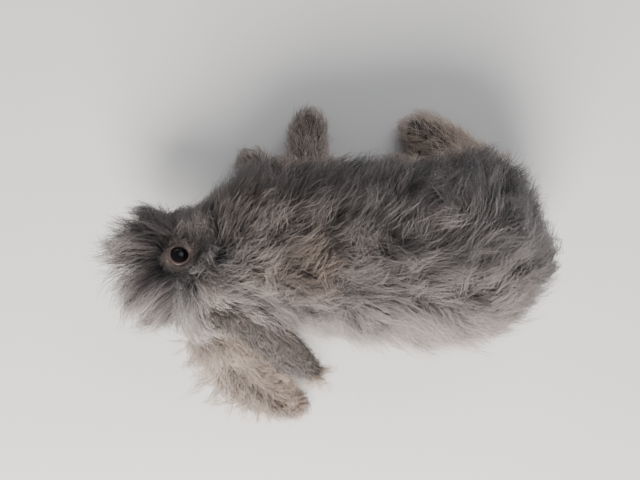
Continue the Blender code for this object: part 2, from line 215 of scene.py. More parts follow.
# Size of the grid and rounds of smoothing with which forms are fused.
SKIN_GRID = (0.0016, 3)
EAR_GRID = (0.0008, 4)
OUTLINE_GRID = (0.003, 8)

# Least heights of the skin, the hair and a hair's root, and a block that cuts the skin flat.
SKIN_CLEARANCE = 0.0006
FLOOR_CLEARANCE = 0.0012
ROOT_CLEARANCE = 0.0003
FLOOR_BLOCK = 0.8

SAMPLES = 90000
DENSITY = 1.0
UNDERSIDE = 0.03
FACES_DOWN = -0.6

# How far along a strand its rings are.
LONG = (0, 0.26, 0.53, 0.78, 1)
MIDDLE = (0, 0.35, 0.7, 1)
SHORT = (0, 0.5, 1)

# The coat of each part. The width is half of a strand's.
Coat = namedtuple("Coat", "spacing strands length width gather wave rings")
COATS = {
    "trunk": Coat(3.5, 13, 28, 0.14, 0.16, 3.2, LONG),
    "neck": Coat(3.2, 13, 28, 0.14, 0.16, 3.0, LONG),
    "head": Coat(2.4, 13, 29, 0.13, 0.16, 2.4, LONG),
    "tail": Coat(3.6, 12, 20, 0.15, 0.35, 2.2, LONG),
    "front_leg": Coat(3.3, 8, 14, 0.15, 0.3, 1.4, MIDDLE),
    "hind_leg": Coat(3.3, 8, 16, 0.15, 0.3, 1.5, MIDDLE),
    "ear": Coat(2.5, 9, 6, 0.15, 0.25, 0.5, SHORT),
    "fluff": Coat(2.7, 9, 15, 0.13, 0.25, 2.4, MIDDLE),
    "fringe": Coat(1.6, 13, 28, 0.12, 0.15, 3.2, LONG),
}
SHORT_KINDS = ("ear", "fluff", "front_leg", "hind_leg")

# Locks into which the tufts of the long kinds gather: spacing, how much they gather, how their
# ways differ, and how much lower their edges are. A tuft of a short kind has a turn of its own.
LUMPS = {"trunk": 7.4, "neck": 7.4, "head": 6.8, "tail": 7.4}
LUMP_GATHER = 0.33
LUMP_TURN = 0.46
LUMP_EDGE = 0.22
TUFT_TURN = 0.2

# Depth of the locks' tips, as shares of the coat's depth.
DEPTHS = (0.8, 1.05)

# Height of the short coats, and what is added at the ears' bases, from far to near.
EAR_HEIGHTS = {"ear": 1.9, "fluff": 5.5}
EAR_BASE = (34, 14)
EAR_BASE_WOOL = 9
EAR_BASE_LENGTH = 1.6
FACE_HEIGHT = 3.0

# A tuft: least share of its length, spread of it, how fast it rises, and between which shares of
# the length it turns from short fur to wool.
LEAST_LENGTH = 0.12
LENGTHS = (0.75, 1.2)
RISE = 2.2
FULL_WOOL = (0.15, 0.75)

# The strands of a tuft, and how much a full tuft swells.
LEAST_STRANDS = 4
STRAND_SCATTER = 0.6
STRAND_LENGTHS = (0.68, 1.1)
STRAND_WIDTHS = (0.65, 1.35)
STRAND_GATHER = (0.5, 1.2)
TUFT_SWELL = 0.9

# Shares of the waviness: the curl, and the crimp of a tuft and of a strand.
CURL = 1.3
CRIMPS = (0.42, 0.28)

# Share of the strands that stray, how much, and how far out and along the curl.
STRAYS = 0.1
STRAY_SPREAD = (0.2, 1)
STRAY_OUT = 4
STRAY_CURL = 3

# The fringe of each ear: how near the tip it grows, its least length, what is added between which
# distances from the tip, and how much it follows the ear and stands out.
FRINGES = {
    "ear_right": (8, 0.15, 0.4, (10, 3), 1, 0.6),
    "ear_left": (15, 0.42, 0.75, (20, 65), 0.5, 1),
}

# The left ear's fringe grows where the skin turns away from the flat side, and is thin inwards.
RIM_TURN = 0.55
INNER_WAY = (-0.6, -0.8)
INNER_RIM = (-0.2, 0.5)
INNER_SHARE = 0.65
FRINGE_SPREAD = 0.36
FRINGE_DROOP = 0.25

# The lie of the wool: its sweep down the trunk's sides, with the share of each side and the
# change of it over the rump, its drop, and how much the head's wool lies back.
SWEEP = 1.3
RIGHT_SWEEP = (1, 1.3)
LEFT_SWEEP = (0.5, -1.1)
RUMP = (-50, -125)
TRUNK_DROP = 0.15
HEAD_BACK = 0.12
SWIRL = 0.34

# Between these distances from the eye the face's fur grows, and to the nose it shortens.
BARE_EYE = (11.5, 21)
BARE_NOSE = (20, 8)
NOSE_SHARE = 0.92
LEAST_FACE = 0.06

# Strands in a piece, the size of a strand's patch on the map, and the furthest that hair reaches.
PIECE_STRANDS = 8500
PATCH = 0.003
FURTHEST = (0.196, 0.1765, 0.151)

# Strands keep out of a cone over each eye: its radius, how it widens, and its height.
EYE_OPENING = 8.4
EYE_VIEW = 0.5
EYE_VIEW_HEIGHT = 0.05

# The whiskers on a side. The roots are in the head's directions.
WHISKERS = 12
WHISKER_ROOTS = ((38, 49), (7, 9), (-12, -1))
WHISKER_LENGTHS = (22, 36)
WHISKER_WIDTH = 0.1
WHISKER_LOWEST = 0.004

# A claw: how far ahead of its toe, half sizes, and how it narrows and bends.
CLAW_AHEAD = 5.4
CLAW_RADII = (3.6, 0.8, 1.0)
CLAW_TAPER = 0.75
CLAW_BEND = 0.09

# The rim of an eye: distance out, height, half sizes, and the change at the corner.
LID_REACH = 7.7
LID_HEIGHT = 5.3
LID_RADII = (1.2, 1.1)
LID_CORNER = (1.3, 0.9)

# The eyeball: bounds in degrees from the middle of the pupil, the iris's spokes, and colours.
IRIS_FROM = (34, 42)
IRIS_TO = (56, 50)
WHITE_FROM = (54, 60)
SPOKES = 23
PUPIL_COLOUR = (0.003, 0.003, 0.004)
IRIS_COLOUR = (0.014, 0.008, 0.006)
WHITE_COLOUR = (0.06, 0.03, 0.028)

NOSE_PLACE = (55, 0, -3)
NOSE_COLOUR = np.array((0.16, 0.095, 0.085))
EAR_SKIN = np.array((0.055, 0.037, 0.032))

# Colours of the coat, linear.
UNDER = np.array((0.030, 0.026, 0.025))
GREY = np.array((0.128, 0.114, 0.112))
TIP = np.array((0.42, 0.40, 0.405))
BROWN = np.array((0.25, 0.17, 0.115))
CREAM = np.array((0.55, 0.43, 0.32))
LID_FUR = np.array((0.20, 0.155, 0.13))

# Where the coat is brown or pale, and where it is painted darker: place, reach and strength.
BROWN_PATCHES = (
    ((2, 17, 126), 26, 0.5),
    ((40, -20, 100), 34, 0.2),
)
PALE_PATCHES = (
    ((38, 25, 108), 12, 1.3),
    ((73, 43, 98), 9, 1.0),
)
DARK_PATCHES = (
    ((68, -18, 108), 34, -0.42),
    ((98, 8, 106), 24, -0.42),
    ((-50, -16, 134), 34, -0.2),
    ((6, 14, 128), 22, -0.15),
)

# The wool of the face pales between these distances from the eye, by this share.
PALE_FACE = (34, 66, 0.75)

# Painted light: the side that the back faces, where the key light falls, is painted brighter
# between these places in y, by this share.
PAINTED_LIGHT_SIDE = (12, 92, 1.8)

# How bright, brown and cream a kind of coat is. The others are at 1, 0.2 and 0.
SHADES = {"ear": 0.55, "fluff": 1.1, "fringe": 1.12, "front_leg": 1.15, "hind_leg": 1.4}
WARMTH = {"ear": 0.6, "fluff": 0.5, "fringe": 0.5, "front_leg": 0.4, "hind_leg": 0.55}
PALENESS = {"ear": 0.05, "fluff": 0.7, "fringe": 1.0, "front_leg": 0.55, "hind_leg": 0.85}


class Frame:
    """A place with a forward, a right and an up direction."""

    def __init__(self, origin, yaw=0.0, pitch=0.0, roll=0.0):
        self.origin = Vector(origin) * MM
        flat_right = Vector((-math.sin(yaw), -math.cos(yaw), 0))
        self.forward = Vector(
            (math.cos(pitch) * math.cos(yaw), -math.cos(pitch) * math.sin(yaw), -math.sin(pitch))
        )
        level_up = flat_right.cross(self.forward)
        self.right = flat_right * math.cos(roll) + level_up * math.sin(roll)
        self.up = level_up * math.cos(roll) - flat_right * math.sin(roll)

    def at(self, forward, right, up):
        """The world point at these millimetres along the three directions."""
        return self.origin + MM * (forward * self.forward + right * self.right + up * self.up)

    def matrix(self, centre):
        """Turns X, Y and Z into forward, left and up about a world point."""
        turn = Matrix((self.forward, -self.right, self.up)).transposed()
        return Matrix.Translation(centre) @ turn.to_4x4()

    def local(self, place):
        """Millimetres along the three directions."""
        away = (place - self.origin) / MM
        return away.dot(self.forward), away.dot(self.right), away.dot(self.up)


TRUNK = Frame((0, 10, 58), roll=TRUNK_ROLL)
HEAD = Frame((109, 21, 60), HEAD_YAW, HEAD_PITCH, HEAD_ROLL)


def eye_at(side):
    """The middle of the right eye, or with -1 of the left one."""
    forward, right, up = EYE_PLACE
    return HEAD.at(forward, side * right, up)


def smooth_points(points, steps):
    """A smooth run of points, of any number of values each, through these."""
    run = []
    last = len(points) - 1
    for i in range(last):
        near = (points[min(max(i + k, 0), last)] for k in (-1, 0, 1, 2))
        before, here, there, after = map(Vector, near)
        for step in range(steps):
            t = step / steps
            slope = (there - before) * t
            bend = (2 * before - 5 * here + 4 * there - after) * t * t
            twist = (3 * here - before - 3 * there + after) * t * t * t
            run.append(0.5 * (2 * here + slope + bend + twist))
    run.append(Vector(points[last]))
    return run


def smooth_step(low, high, value):
    """Rises from 0 at low to 1 at high."""
    t = min(1, max(0, (value - low) / (high - low)))
    return t * t * (3 - 2 * t)


def at_least(low, share):
    """Rises from low to 1 as the share rises from 0 to 1."""
    return low + (1 - low) * share


def blend(one, other, share):
    return one * (1 - share) + other * share


@lru_cache
def unit_ball(segments):
    """The points and the triangles of a ball of radius 1."""
    shape = bmesh.new()
    rows = segments * 2 // 3
    bmesh.ops.create_uvsphere(shape, u_segments=segments, v_segments=rows, radius=1)
    bmesh.ops.triangulate(shape, faces=shape.faces)
    shape.verts.index_update()
    points = np.array([vert.co for vert in shape.verts])
    faces = np.array([[vert.index for vert in face.verts] for face in shape.faces])
    shape.free()
    return points, faces


def add_ball(forms, matrix, radii, segments=24):
    """Adds an ellipsoid with these half sizes to a list of forms."""
    points, faces = unit_ball(segments)
    matrix = np.array(matrix)
    points = (points * np.array(radii) * MM) @ matrix[:3, :3].T + matrix[:3, 3]
    forms.append((points, faces))


def joined(forms):
    """All the points and all the triangles of a list of forms."""
    starts = np.cumsum([0] + [len(points) for points, _ in forms[:-1]])
    faces = np.concatenate([some + start for (_, some), start in zip(forms, starts)])
    return np.concatenate([points for points, _ in forms]), faces


def add_head_ball(shape, centre, radii):
    """An ellipsoid in the head's directions, or one on each side if it is off the middle."""
    forward, right, up = centre
    for side in (1, -1) if right else (1,):
        add_ball(shape, HEAD.matrix(HEAD.at(forward, side * right, up)), radii)


def add_chain(shape, path, coat=0):
    """Overlapping balls along a smooth path."""
    for station in smooth_points(path, 4):
        radius = station[3] + coat
        add_ball(shape, Matrix.Translation(station.to_3d() * MM), (radius, radius, radius), 16)


def add_blade(shape, path, width_share, thick, lift):
    """A leaf of flat balls along a path, lifted off it along its face."""
    run = smooth_points(path, 6)
    for i, station in enumerate(run):
        ahead = run[min(i + 1, len(run) - 1)].to_3d() - run[max(i - 1, 0)].to_3d()
        ahead.normalize()
        face = Vector(EAR_FACE) - ahead * Vector(EAR_FACE).dot(ahead)
        face.normalize()
        turn = Matrix((ahead, face.cross(ahead), face)).transposed().to_4x4()
        wide = station[3] * width_share
        place = Matrix.Translation(MM * (station.to_3d() + lift * face)) @ turn
        add_ball(shape, place, (wide * 0.7, wide, thick), 20)


def link_new(name, data):
    made = bpy.data.objects.new(name, data)
    bpy.context.scene.collection.objects.link(made)
    return made


def new_object(name, shape):
    """An object of a bmesh, which is freed."""
    mesh = bpy.data.meshes.new(name)
    shape.to_mesh(mesh)
    shape.free()
    return link_new(name, mesh)


def object_of(name, forms):
    """An object of a list of forms."""
    points, faces = joined(forms)
    mesh = bpy.data.meshes.new(name)
    mesh.from_pydata(points.tolist(), [], faces.tolist())
    return link_new(name, mesh)


def apply_modifiers(target):
    graph = bpy.context.evaluated_depsgraph_get()
    mesh = bpy.data.meshes.new_from_object(target.evaluated_get(graph))
    old = target.data
    target.modifiers.clear()
    target.data = mesh
    bpy.data.meshes.remove(old)


def fuse(target, voxel, rounds):
    """Makes one smooth closed skin of overlapping forms."""
    remesh = target.modifiers.new("fuse", "REMESH")
    remesh.mode = "VOXEL"
    remesh.voxel_size = voxel
    relax = target.modifiers.new("relax", "SMOOTH")
    relax.factor = 0.5
    relax.iterations = rounds
    apply_modifiers(target)


def cut(target, cutter):
    change = target.modifiers.new("cut", "BOOLEAN")
    change.operation = "DIFFERENCE"
    change.solver = "MANIFOLD"
    change.object = cutter
    apply_modifiers(target)
    bpy.data.objects.remove(cutter)


def cut_ball(target, matrix, radii, segments):
    cutter = []
    add_ball(cutter, matrix, radii, segments)
    cut(target, object_of("cutter", cutter))


def order_of(points, faces):
    """Turns of the corners and an order of the faces, by their places alone."""
    rank = np.empty(len(points), int)
    rank[np.lexsort(np.round(points / MM, 4).T)] = np.arange(len(points))
    turned = (rank[faces].argmin(axis=1)[:, None] + np.arange(3)) % 3
    return turned, np.lexsort(rank[np.take_along_axis(faces, turned, axis=1)].T)


def read(items, name, width, kind=float):
    """A value of each item of a mesh, in rows of this width."""
    values = np.empty(len(items) * width, kind)
    items.foreach_get(name, values)
    return values.reshape(-1, width)


def triangles_of(target):
    """The points and the triangles of an object's mesh, in the same order in each run."""
    target.data.calc_loop_triangles()
    points = read(target.data.vertices, "co", 3)
    faces = read(target.data.loop_triangles, "vertices", 3, int)
    turned, order = order_of(points, faces)
    return points, np.take_along_axis(faces, turned, axis=1)[order]


def tree_of(points, faces):
    return BVHTree.FromPolygons(points.tolist(), faces.tolist(), all_triangles=True)


def add_trunk(shape, coat=0):
    for x, y, z, wide, high in smooth_points(TRUNK_STATIONS, 3):
        place = Matrix.Translation(MM * Vector((x, y, z)))
        add_ball(shape, place, (STATION_LENGTH + coat, wide + coat, high + coat), 32)
    for place, radii in ((CHEST_PLACE, CHEST_RADII), (HAUNCH_PLACE, HAUNCH_RADII)):
        grown = tuple(radius + coat for radius in radii)
        add_ball(shape, TRUNK.matrix(Vector(place) * MM), grown)


def add_head(shape, coat=0):
    for centre, radii, shares in HEAD_FORMS:
        grown = tuple(radius + coat * share for radius, share in zip(radii, shares))
        add_head_ball(shape, centre, grown)


def outline_tree():
    """The surface that the tips of the wool reach."""
    shape = []
    add_trunk(shape, TRUNK_COAT)
    add_head(shape, HEAD_COAT)
    for centre, radii in WOOL_FORMS:
        add_head_ball(shape, centre, radii)
    add_chain(shape, NECK_PATH, NECK_COAT)
    add_ball(shape, Matrix.Translation(MM * Vector(RUFF_PLACE)), RUFF_RADII)
    add_chain(shape, TAIL_PATH, TAIL_COAT)
    for path in LEG_PATHS.values():
        add_chain(shape, path, LEG_COAT)
    outline = object_of("outline", shape)
    fuse(outline, *OUTLINE_GRID)
    forward, right, up = EYE_PLACE
    for side in (1, -1):
        place = HEAD.at(forward, side * (right + EYE_RISE + EYE_HOLLOW), up)
        cut_ball(outline, HEAD.matrix(place), (EYE_HOLLOW, EYE_HOLLOW, EYE_HOLLOW), 32)
    tree = tree_of(*triangles_of(outline))
    bpy.data.objects.remove(outline)
    return tree


def toes(path):
    """The place of each toe at the end of a leg, the way ahead and the way across."""
    end = Vector(path[-1][:3])
    ahead = (end - Vector(path[-2][:3])).normalized()
    across = ahead.cross(Vector((0, 0, 1))).normalized()
    for i in range(TOES):
        aside = i - (TOES - 1) / 2
        place = end + ahead * (TOE_REACH - abs(aside) * TOE_CURVE) + across * (aside * TOE_GAP)
        yield place - Vector((0, 0, TOE_DROP)), ahead, across


def add_toes(shape, path):
    for place, _, _ in toes(path):
        add_ball(shape, Matrix.Translation(place * MM), TOE_RADII, 12)


def build_ear_skin(name, path):
    shape = []
    add_blade(shape, path, *EAR_BLADE, 0)
    ear = object_of(name + "_skin", shape)
    fuse(ear, *EAR_GRID)
    cup = []
    add_blade(cup, path[1:-1], *EAR_CUP, EAR_OPENS[name] * EAR_CUP_LIFT)
    cutter = object_of("cup", cup)
    fuse(cutter, *EAR_GRID)
    cut(ear, cutter)
    return ear


def part_trees(ears):
    """A tree of each part's own naked surface, to tell which part a place is on."""
    trees = {}
    for name, add in (("trunk", add_trunk), ("head", add_head)):
        shape = []
        add(shape)
        trees[name] = tree_of(*joined(shape))
    for name, path in CHAINS.items():
        shape = []
        add_chain(shape, path)
        trees[name] = tree_of(*joined(shape))
    for ear in ears:
        trees[ear.name.removesuffix("_skin")] = tree_of(*triangles_of(ear))
    return trees


def build_skin():
    """The whole naked body as one skin, and a tree of each part of it."""
    ears = [build_ear_skin(name, path) for name, path in EAR_PATHS.items()]
    trees = part_trees(ears)
    shape = []
    add_trunk(shape)
    add_head(shape)
    for name, path in CHAINS.items():
        add_chain(shape, path)
        if name in LEG_PATHS:
            add_toes(shape, path)
    for ear in ears:
        shape.append(triangles_of(ear))
        bpy.data.objects.remove(ear)
    skin = object_of("skin", shape)
    fuse(skin, *SKIN_GRID)
    below = bmesh.new()
    under = Matrix.Translation((0, 0, SKIN_CLEARANCE - FLOOR_BLOCK / 2))
    bmesh.ops.create_cube(below, size=FLOOR_BLOCK, matrix=under)
    cut(skin, new_object("below", below))
    cut_face(skin)
    unwrap(skin)
    skin.data.shade_smooth()
    return skin, trees


def cut_face(skin):
    """Sinks the eyes, and cuts the nostrils, the split of the lip and the line of the mouth."""
    radius = EYEBALL + SOCKET_ROOM
    (forward, right, up), radii = NOSTRIL
    for side in (1, -1):
        cut_ball(skin, HEAD.matrix(eye_at(side)), (radius, radius, radius), 48)
        place = HEAD.matrix(HEAD.at(forward, side * right, up))
        cut_ball(skin, place @ Matrix.Rotation(side * NOSTRIL_TURN, 4, "X"), radii, 16)
    for (place, radii), segments in ((LIP_SPLIT, 16), (MOUTH, 24)):
        cut_ball(skin, HEAD.matrix(HEAD.at(*place)), radii, segments)


def unwrap(skin):
    """An unwrap of the skin's own shape, on the map that the coat's tufts share."""
    skin.data.uv_layers.new(name="OFBake")
    bpy.context.view_layer.objects.active = skin
    skin.select_set(True)
    bpy.ops.object.mode_set(mode="EDIT")
    bpy.ops.mesh.select_all(action="SELECT")
    bpy.ops.mesh.quads_convert_to_tris()
    bpy.ops.uv.smart_project(angle_limit=math.radians(66), island_margin=0.002)
    bpy.ops.object.mode_set(mode="OBJECT")
    skin.select_set(False)


class Surface:
    """The skin as arrays, with a tree to find places on it."""

    def __init__(self, skin):
        mesh = skin.data
        self.corners = read(mesh.loops, "vertex_index", 1, int).reshape(-1, 3)
        self.points = read(mesh.vertices, "co", 3)
        self.uv = read(mesh.uv_layers["OFBake"].data, "uv", 2).reshape(-1, 3, 2)
        turned, order = order_of(self.points, self.corners)
        self.corners = np.take_along_axis(self.corners, turned, axis=1)[order]
        self.uv = np.take_along_axis(self.uv, turned[:, :, None], axis=1)[order]
        self.tree = tree_of(self.points, self.corners)

    def sample(self, count, draw):
        """Places spread at random over the skin."""
        a, b, c = (self.points[self.corners[:, i]] for i in range(3))
        area = np.linalg.norm(np.cross(b - a, c - a), axis=1)
        face = draw.choice(len(area), count, p=area / area.sum())
        one, two = draw.random((2, count, 1))
        over = one + two > 1
        one, two = (np.where(over, 1 - share, share) for share in (one, two))
        return a[face] + one * (b - a)[face] + two * (c - a)[face]

    def nearest(self, places):
        """The nearest places on the skin, their normals and their places on its unwrap."""
        found = [self.tree.find_nearest(Vector(place)) for place in places]
        on = np.array([hit[0] for hit in found])
        normals = np.array([hit[1] for hit in found])
        faces = np.array([hit[2] for hit in found])
        a, b, c = (self.points[self.corners[faces, i]] for i in range(3))
        ab, ac, ap = b - a, c - a, on - a
        pairs = ((ab, ab), (ab, ac), (ac, ac), (ap, ab), (ap, ac))
        d00, d01, d11, d20, d21 = ((one * other).sum(1) for one, other in pairs)
        whole = np.maximum(d00 * d11 - d01 * d01, 1e-24)
        v = np.clip((d11 * d20 - d01 * d21) / whole, 0, 1)
        w = np.clip((d00 * d21 - d01 * d20) / whole, 0, 1)
        u = np.clip(1 - v - w, 0, 1)
        flat = sum(share[:, None] * self.uv[faces, i] for i, share in enumerate((u, v, w)))
        return on, normals, flat


def trunk_lie(place):
    """Back along the spine, down the sides from it, and at the rump round to the tail."""
    around = Vector((0, *(place - TRUNK.origin).yz)).normalized()
    down = around * around.dot(TRUNK.up) - TRUNK.up
    rump = smooth_step(*RUMP, place.x / MM)
    share, change = RIGHT_SWEEP if around.dot(TRUNK.right) > 0 else LEFT_SWEEP
    sweep = SWEEP * (share + change * rump)
    return Vector((-1, 0, 0)) + sweep * down + Vector((0, 0, -TRUNK_DROP))


def head_lie(place):
    """Away from the eye, and a little back."""
    away = place - eye_at(1 if HEAD.local(place)[1] > 0 else -1)
    away -= HEAD.right * away.dot(HEAD.right)
    return away.normalized() - HEAD_BACK * HEAD.forward


def path_lie(path, fan=0.0):
    """Along a path, towards its end, and by a share of that away from it."""
    stations = [MM * station.to_3d() for station in smooth_points(path, 3)]

    def lie(place):
        near = min(range(len(stations)), key=lambda i: (stations[i] - place).length)
        near = min(near, len(stations) - 2)
        ahead = (stations[near + 1] - stations[near]).normalized()
        away = place - stations[near]
        away -= ahead * away.dot(ahead)
        return ahead + fan * away.normalized()

    return lie


LIES = {"trunk": trunk_lie, "neck": trunk_lie, "head": head_lie, "tail": path_lie(TAIL_PATH)}
LIES |= {name: path_lie(path) for name, path in LEG_PATHS.items()}
LIES |= {name: path_lie(path, fan=0.5) for name, path in EAR_PATHS.items()}


def length_share(part, place):
    """How long the coat is at a place, as a share of the part's full coat."""
    if part != "head":
        return 1.0
    forward, right, up = HEAD.local(place)
    away = math.dist((forward, abs(right), up), EYE_PLACE)
    long = smooth_step(*BARE_EYE, away)
    nose = smooth_step(*BARE_NOSE, math.dist((forward, right, up), NOSE_PLACE))
    return LEAST_FACE + (1 - LEAST_FACE) * long * (1 - NOSE_SHARE * nose)


def which_part(place, trees):
    """The part whose own naked surface is nearest."""
    return min(trees, key=lambda name: trees[name].find_nearest(place)[3])


def kind_of(part):
    """The key in COATS for a part."""
    if part in EAR_PATHS:
        return "ear" if part == "ear_right" else "fluff"
    return part.removesuffix("_right").removesuffix("_left")


def ear_distance(part, end, place):
    """Millimetres to an ear's base, with 0 for the end, or to its tip, with -1."""
    return (place / MM - Vector(EAR_PATHS[part][end][:3])).length


def on_rim(part, place, normal):
    """Whether the fringe grows at a place: on the rim of the left ear, and on both tips."""
    on_edge = part == "ear_left" and abs(normal.dot(Vector(EAR_FACE))) < RIM_TURN
    return on_edge or ear_distance(part, -1, place) < FRINGES[part][0]


def apart(places, spacings):
    """The indices of places that keep their own spacings from one another."""
    cell = max(spacings)
    grid = {}
    kept = []
    around = [(a, b, c) for a in (-1, 0, 1) for b in (-1, 0, 1) for c in (-1, 0, 1)]
    for i, (x, y, z) in enumerate(places):
        column, row, level = int(x // cell), int(y // cell), int(z // cell)
        least = spacings[i] ** 2
        near = (
            other
            for a, b, c in around
            for other in grid.get((column + a, row + b, level + c), ())
        )
        if all((x - p) ** 2 + (y - q) ** 2 + (z - r) ** 2 > least for p, q, r in near):
            grid.setdefault((column, row, level), []).append((x, y, z))
            kept.append(i)
    return kept


def tuft_roots(surface, trees, draw):
    """Roots of the tufts by kind of coat: place, normal, part and share of the length."""
    found = {}
    for sample in surface.sample(int(SAMPLES * DENSITY), draw):
        place, normal, _, _ = surface.tree.find_nearest(Vector(sample))
        part = which_part(place, trees)
        if normal.z < FACES_DOWN and place.z < UNDERSIDE:
            continue
        root = (place, normal, part, length_share(part, place))
        kind = kind_of(part)
        found.setdefault(kind, []).append(root)
        if part in EAR_PATHS and on_rim(part, place, normal):
            found.setdefault("fringe", []).append(root)
    roots = {}
    for kind, some in found.items():
        spacing = COATS[kind].spacing * MM / math.sqrt(DENSITY)
        spacings = [spacing * at_least(0.6, share) for _, _, _, share in some]
        roots[kind] = [some[i] for i in apart([tuple(root[0]) for root in some], spacings)]
    return roots


def march(tree, place, normal, lie, turn, steps):
    """Points and normals along a surface, by steps in the way that hair lies."""
    points = [place]
    normals = [normal]
    for step in steps:
        way = Matrix.Rotation(turn, 3, normal) @ lie(place)
        way -= normal * way.dot(normal)
        if way.length > 0:
            place, normal, _, _ = tree.find_nearest(place + way.normalized() * step)
        points.append(place)
        normals.append(normal)
    return np.array(points), np.array(normals)


def swirl(place):
    """A slow turn of the lie from place to place."""
    x, y, z = place / MM
    return SWIRL * math.sin(x / 11 + 1.3 * math.sin(y / 14)) * math.cos(y / 9 + z / 12)


def tuft_guide(root, kind, surface, outline, turn, deep, draw):
    """The middle line of a tuft, from its root to the outside of the coat and along it."""
    place, normal, part, share = root
    coat = COATS[kind]
    long = coat.length * at_least(LEAST_LENGTH, share) * draw.uniform(*LENGTHS) * MM
    along = np.array(coat.rings)
    if kind == "fringe":
        return fringe_guide(place, normal, part, long, along, draw)
    base = 0
    if kind in EAR_HEIGHTS:
        base = smooth_step(*EAR_BASE, ear_distance(part, 0, place))
        long *= 1 + EAR_BASE_LENGTH * base
    lie = LIES[part]
    rise = (1 - (1 - along) ** RISE)[:, None]
    steps = np.diff(along) * long
    low, low_normals = march(surface.tree, place, normal, lie, turn, steps)
    if kind in EAR_HEIGHTS:
        height = (EAR_HEIGHTS[kind] + EAR_BASE_WOOL * base) * draw.uniform(0.6, 1.4)
        return low + low_normals * rise * height * MM
    low = low + low_normals * rise * FACE_HEIGHT * draw.uniform(0.7, 1.3) * MM
    outer, outer_normal, _, depth = outline.ray_cast(place, normal)
    most = 1.7 * HEAD_COAT * MM
    if outer is None or depth > most:
        outer, outer_normal, _, depth = outline.find_nearest(place)
    high, high_normals = march(outline, outer, outer_normal, lie, turn, steps)
    high -= high_normals * depth * (1 - deep)
    high = np.array(place) + (high - np.array(place)) * rise
    return blend(low, high, smooth_step(*FULL_WOOL, share))


def fringe_guide(place, normal, part, long, along, draw):
    """A tuft of the fringe, out over an ear's rim and hanging a little."""
    _, least, more, reach, ahead, out = FRINGES[part]
    scale = least + more * smooth_step(*reach, ear_distance(part, -1, place))
    if part == "ear_left":
        inner = smooth_step(*INNER_RIM, normal.x * INNER_WAY[0] + normal.y * INNER_WAY[1])
        scale *= 1 - INNER_SHARE * inner
    way = LIES[part](place) * ahead + normal * out + Vector(draw.normal(0, FRINGE_SPREAD, 3))
    line = np.array(way.normalized())[None, :] * (along * long * scale)[:, None]
    droop = np.outer(along**2, (0, 0, -FRINGE_DROOP)) * long * scale
    return np.array(place)[None, :] + line + droop


def turn_of(root, draw, spread):
    return swirl(root[0]) + draw.normal(0, spread)


def gathered_tufts(kind, roots, surface, outline, draw):
    """The middle lines of tufts that gather into locks, and the lock of each."""
    spacings = [LUMPS[kind] * MM * at_least(0.5, root[3]) for root in roots]
    chosen = [roots[i] for i in apart([tuple(root[0]) for root in roots], spacings)]
    turns = [turn_of(root, draw, LUMP_TURN) for root in chosen]
    deeps = draw.uniform(*DEPTHS, len(chosen))
    middles = [
        tuft_guide(root, kind, surface, outline, turn, deep, draw)
        for root, turn, deep in zip(chosen, turns, deeps)
    ]
    tree = KDTree(len(chosen))
    for i, root in enumerate(chosen):
        tree.insert(root[0], i)
    tree.balance()
    lines = []
    owners = []
    for root in roots:
        _, owner, away = tree.find(root[0])
        edge = min(1, away / (LUMPS[kind] * MM * 0.6)) ** 2
        deep = deeps[owner] * (1 - LUMP_EDGE * edge) + draw.normal(0, 0.02)
        turn = turns[owner] + draw.normal(0, 0.12)
        line = tuft_guide(root, kind, surface, outline, turn, deep, draw)
        pull = LUMP_GATHER * np.array(COATS[kind].rings)[:, None] ** 1.3
        lines.append(line + (middles[owner] - line) * pull)
        owners.append(owner)
    return lines, owners


def tufts(surface, trees, outline, draw):
    """The middle line, normal, share of the length and lock of each tuft, by kind."""
    groups = {}
    for kind, roots in tuft_roots(surface, trees, draw).items():
        if kind in LUMPS:
            lines, owners = gathered_tufts(kind, roots, surface, outline, draw)
        else:
            lines = [
                tuft_guide(root, kind, surface, outline, turn_of(root, draw, TUFT_TURN), 1, draw)
                for root in roots
            ]
            owners = range(len(roots))
        normals = np.array([root[1] for root in roots])
        shares = np.array([root[3] for root in roots])
        groups[kind] = (np.array(lines), normals, shares, np.array(owners))
    return groups


